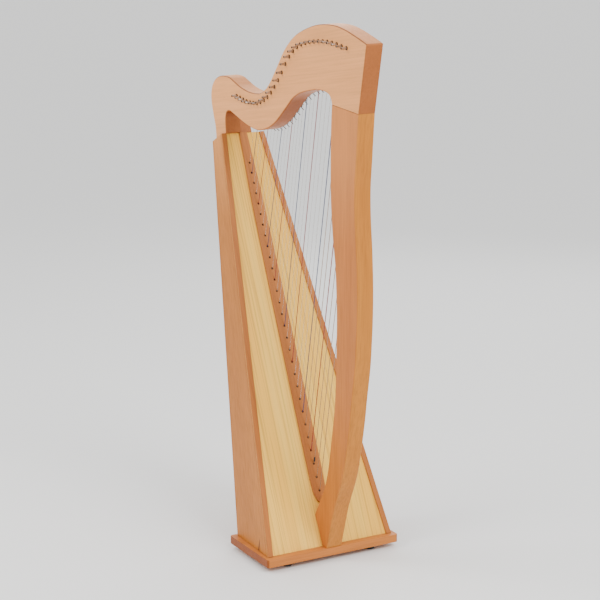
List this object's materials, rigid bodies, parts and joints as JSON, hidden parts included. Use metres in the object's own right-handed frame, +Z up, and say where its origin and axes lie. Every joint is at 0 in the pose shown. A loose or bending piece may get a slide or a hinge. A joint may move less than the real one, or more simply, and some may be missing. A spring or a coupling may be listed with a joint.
{
  "type": "lever harp",
  "caption": "Floor-standing lever harp with a tapered sound box on a footed base, curved column, harmonic neck, turning tuning pins and sharping levers.",
  "frame": {"origin": "centre of the bounding box, on the plane under the feet", "axes": "+Z up, +X from the player's side towards the column, +Y towards the side of the neck that carries the strings"},
  "size_m": [0.7646, 0.37, 1.2984],
  "materials": {
    "beech": "pale beech, satin clear coat",
    "beech_dark": "redder beech, satin clear coat",
    "spruce": "straight-grained spruce, satin clear coat",
    "rubber": "matt black rubber",
    "steel": "nickel-plated steel, dull",
    "string": "nylon, with some strings dyed red and some dark blue"
  },
  "bodies": {
    "frame": {"back_panel": "beech", "base_plate": "beech_dark", "bottom_block": "beech", "box_bolt": "steel", "brace_lower": "spruce", "brace_upper": "spruce", "column": "beech", "column_bolt": "steel", "column_dowel": "beech", "edge_trim_left": "beech_dark", "edge_trim_right": "beech_dark", "foot_front_left": "rubber", "foot_front_right": "rubber", "foot_rear_left": "rubber", "foot_rear_right": "rubber", "neck": "beech", "neck_heel": "beech", "side_panel_left": "beech", "side_panel_right": "beech", "soundboard": "spruce", "string_rib": "beech_dark", "strings": "string", "top_block": "beech"},
    "lever_02": {"lever_02": "steel"},
    "lever_05": {"lever_05": "steel"},
    "lever_09": {"lever_09": "steel"},
    "lever_12": {"lever_12": "steel"},
    "lever_16": {"lever_16": "steel"},
    "lever_19": {"lever_19": "steel"},
    "lever_23": {"lever_23": "steel"},
    "lever_26": {"lever_26": "steel"},
    "tuning_pin_01": {"tuning_pin_01": "steel"},
    "tuning_pin_02": {"tuning_pin_02": "steel"},
    "tuning_pin_03": {"tuning_pin_03": "steel"},
    "tuning_pin_04": {"tuning_pin_04": "steel"},
    "tuning_pin_05": {"tuning_pin_05": "steel"},
    "tuning_pin_06": {"tuning_pin_06": "steel"},
    "tuning_pin_07": {"tuning_pin_07": "steel"},
    "tuning_pin_08": {"tuning_pin_08": "steel"},
    "tuning_pin_09": {"tuning_pin_09": "steel"},
    "tuning_pin_10": {"tuning_pin_10": "steel"},
    "tuning_pin_11": {"tuning_pin_11": "steel"},
    "tuning_pin_12": {"tuning_pin_12": "steel"},
    "tuning_pin_13": {"tuning_pin_13": "steel"},
    "tuning_pin_14": {"tuning_pin_14": "steel"},
    "tuning_pin_15": {"tuning_pin_15": "steel"},
    "tuning_pin_16": {"tuning_pin_16": "steel"},
    "tuning_pin_17": {"tuning_pin_17": "steel"},
    "tuning_pin_18": {"tuning_pin_18": "steel"},
    "tuning_pin_19": {"tuning_pin_19": "steel"},
    "tuning_pin_20": {"tuning_pin_20": "steel"},
    "tuning_pin_21": {"tuning_pin_21": "steel"},
    "tuning_pin_22": {"tuning_pin_22": "steel"},
    "tuning_pin_23": {"tuning_pin_23": "steel"},
    "tuning_pin_24": {"tuning_pin_24": "steel"},
    "tuning_pin_25": {"tuning_pin_25": "steel"},
    "tuning_pin_26": {"tuning_pin_26": "steel"},
    "tuning_pin_27": {"tuning_pin_27": "steel"},
    "tuning_pin_28": {"tuning_pin_28": "steel"},
    "tuning_pin_29": {"tuning_pin_29": "steel"}
  },
  "joints": [
    {"name": "flip_lever_02", "type": "hinge", "parent": "frame", "child": "lever_02", "pos_m": [-0.22307, -0.0076, 1.05385], "axis": [0, 0.9996, 0.029], "range_deg": [-50, 0]},
    {"name": "flip_lever_05", "type": "hinge", "parent": "frame", "child": "lever_05", "pos_m": [-0.1721, -0.00718, 1.03951], "axis": [0, 0.9996, 0.029], "range_deg": [-50, 0]},
    {"name": "flip_lever_09", "type": "hinge", "parent": "frame", "child": "lever_09", "pos_m": [-0.10188, -0.00716, 1.03872], "axis": [0, 0.9996, 0.029], "range_deg": [-50, 0]},
    {"name": "flip_lever_12", "type": "hinge", "parent": "frame", "child": "lever_12", "pos_m": [-0.04844, -0.00775, 1.05896], "axis": [0, 0.9996, 0.029], "range_deg": [-50, 0]},
    {"name": "flip_lever_16", "type": "hinge", "parent": "frame", "child": "lever_16", "pos_m": [0.02495, -0.00928, 1.11198], "axis": [0, 0.9996, 0.029], "range_deg": [-50, 0]},
    {"name": "flip_lever_19", "type": "hinge", "parent": "frame", "child": "lever_19", "pos_m": [0.08324, -0.01012, 1.14097], "axis": [0, 0.9996, 0.029], "range_deg": [-50, 0]},
    {"name": "flip_lever_23", "type": "hinge", "parent": "frame", "child": "lever_23", "pos_m": [0.16276, -0.01049, 1.15358], "axis": [0, 0.9996, 0.029], "range_deg": [-50, 0]},
    {"name": "flip_lever_26", "type": "hinge", "parent": "frame", "child": "lever_26", "pos_m": [0.22239, -0.01037, 1.14934], "axis": [0, 0.9996, 0.029], "range_deg": [-50, 0]},
    {"name": "turn_pin_01", "type": "hinge", "parent": "frame", "child": "tuning_pin_01", "pos_m": [-0.23625, -0.03113, 1.10625], "axis": [0, 0.9996, 0.029], "range_deg": [-180, 180]},
    {"name": "turn_pin_02", "type": "hinge", "parent": "frame", "child": "tuning_pin_02", "pos_m": [-0.21879, -0.03103, 1.10289], "axis": [0, 0.9996, 0.029], "range_deg": [-180, 180]},
    {"name": "turn_pin_03", "type": "hinge", "parent": "frame", "child": "tuning_pin_03", "pos_m": [-0.20121, -0.03094, 1.09964], "axis": [0, 0.9996, 0.029], "range_deg": [-180, 180]},
    {"name": "turn_pin_04", "type": "hinge", "parent": "frame", "child": "tuning_pin_04", "pos_m": [-0.1835, -0.03085, 1.09657], "axis": [0, 0.9996, 0.029], "range_deg": [-180, 180]},
    {"name": "turn_pin_05", "type": "hinge", "parent": "frame", "child": "tuning_pin_05", "pos_m": [-0.16568, -0.0308, 1.09495], "axis": [0, 0.9996, 0.029], "range_deg": [-180, 180]},
    {"name": "turn_pin_06", "type": "hinge", "parent": "frame", "child": "tuning_pin_06", "pos_m": [-0.14773, -0.03079, 1.09474], "axis": [0, 0.9996, 0.029], "range_deg": [-180, 180]},
    {"name": "turn_pin_07", "type": "hinge", "parent": "frame", "child": "tuning_pin_07", "pos_m": [-0.12966, -0.03081, 1.0954], "axis": [0, 0.9996, 0.029], "range_deg": [-180, 180]},
    {"name": "turn_pin_08", "type": "hinge", "parent": "frame", "child": "tuning_pin_08", "pos_m": [-0.11148, -0.03093, 1.09946], "axis": [0, 0.9996, 0.029], "range_deg": [-180, 180]},
    {"name": "turn_pin_09", "type": "hinge", "parent": "frame", "child": "tuning_pin_09", "pos_m": [-0.09316, -0.03111, 1.10572], "axis": [0, 0.9996, 0.029], "range_deg": [-180, 180]},
    {"name": "turn_pin_10", "type": "hinge", "parent": "frame", "child": "tuning_pin_10", "pos_m": [-0.07473, -0.03137, 1.11467], "axis": [0, 0.9996, 0.029], "range_deg": [-180, 180]},
    {"name": "turn_pin_11", "type": "hinge", "parent": "frame", "child": "tuning_pin_11", "pos_m": [-0.05618, -0.03172, 1.12665], "axis": [0, 0.9996, 0.029], "range_deg": [-180, 180]},
    {"name": "turn_pin_12", "type": "hinge", "parent": "frame", "child": "tuning_pin_12", "pos_m": [-0.0375, -0.03215, 1.14156], "axis": [0, 0.9996, 0.029], "range_deg": [-180, 180]},
    {"name": "turn_pin_13", "type": "hinge", "parent": "frame", "child": "tuning_pin_13", "pos_m": [-0.01871, -0.03264, 1.15857], "axis": [0, 0.9996, 0.029], "range_deg": [-180, 180]},
    {"name": "turn_pin_14", "type": "hinge", "parent": "frame", "child": "tuning_pin_14", "pos_m": [0.00021, -0.0332, 1.17785], "axis": [0, 0.9996, 0.029], "range_deg": [-180, 180]},
    {"name": "turn_pin_15", "type": "hinge", "parent": "frame", "child": "tuning_pin_15", "pos_m": [0.01925, -0.03381, 1.199], "axis": [0, 0.9996, 0.029], "range_deg": [-180, 180]},
    {"name": "turn_pin_16", "type": "hinge", "parent": "frame", "child": "tuning_pin_16", "pos_m": [0.03841, -0.03434, 1.21707], "axis": [0, 0.9996, 0.029], "range_deg": [-180, 180]},
    {"name": "turn_pin_17", "type": "hinge", "parent": "frame", "child": "tuning_pin_17", "pos_m": [0.05769, -0.03473, 1.23066], "axis": [0, 0.9996, 0.029], "range_deg": [-180, 180]},
    {"name": "turn_pin_18", "type": "hinge", "parent": "frame", "child": "tuning_pin_18", "pos_m": [0.0771, -0.03503, 1.24084], "axis": [0, 0.9996, 0.029], "range_deg": [-180, 180]},
    {"name": "turn_pin_19", "type": "hinge", "parent": "frame", "child": "tuning_pin_19", "pos_m": [0.09662, -0.03523, 1.24788], "axis": [0, 0.9996, 0.029], "range_deg": [-180, 180]},
    {"name": "turn_pin_20", "type": "hinge", "parent": "frame", "child": "tuning_pin_20", "pos_m": [0.11627, -0.03535, 1.25217], "axis": [0, 0.9996, 0.029], "range_deg": [-180, 180]},
    {"name": "turn_pin_21", "type": "hinge", "parent": "frame", "child": "tuning_pin_21", "pos_m": [0.13604, -0.03544, 1.25515], "axis": [0, 0.9996, 0.029], "range_deg": [-180, 180]},
    {"name": "turn_pin_22", "type": "hinge", "parent": "frame", "child": "tuning_pin_22", "pos_m": [0.15593, -0.0355, 1.25716], "axis": [0, 0.9996, 0.029], "range_deg": [-180, 180]},
    {"name": "turn_pin_23", "type": "hinge", "parent": "frame", "child": "tuning_pin_23", "pos_m": [0.17594, -0.03554, 1.25855], "axis": [0, 0.9996, 0.029], "range_deg": [-180, 180]},
    {"name": "turn_pin_24", "type": "hinge", "parent": "frame", "child": "tuning_pin_24", "pos_m": [0.19607, -0.03556, 1.25921], "axis": [0, 0.9996, 0.029], "range_deg": [-180, 180]},
    {"name": "turn_pin_25", "type": "hinge", "parent": "frame", "child": "tuning_pin_25", "pos_m": [0.21632, -0.03555, 1.25896], "axis": [0, 0.9996, 0.029], "range_deg": [-180, 180]},
    {"name": "turn_pin_26", "type": "hinge", "parent": "frame", "child": "tuning_pin_26", "pos_m": [0.2367, -0.03552, 1.25776], "axis": [0, 0.9996, 0.029], "range_deg": [-180, 180]},
    {"name": "turn_pin_27", "type": "hinge", "parent": "frame", "child": "tuning_pin_27", "pos_m": [0.25719, -0.03545, 1.25529], "axis": [0, 0.9996, 0.029], "range_deg": [-180, 180]},
    {"name": "turn_pin_28", "type": "hinge", "parent": "frame", "child": "tuning_pin_28", "pos_m": [0.27781, -0.03535, 1.25212], "axis": [0, 0.9996, 0.029], "range_deg": [-180, 180]},
    {"name": "turn_pin_29", "type": "hinge", "parent": "frame", "child": "tuning_pin_29", "pos_m": [0.29855, -0.03526, 1.24887], "axis": [0, 0.9996, 0.029], "range_deg": [-180, 180]}
  ]
}
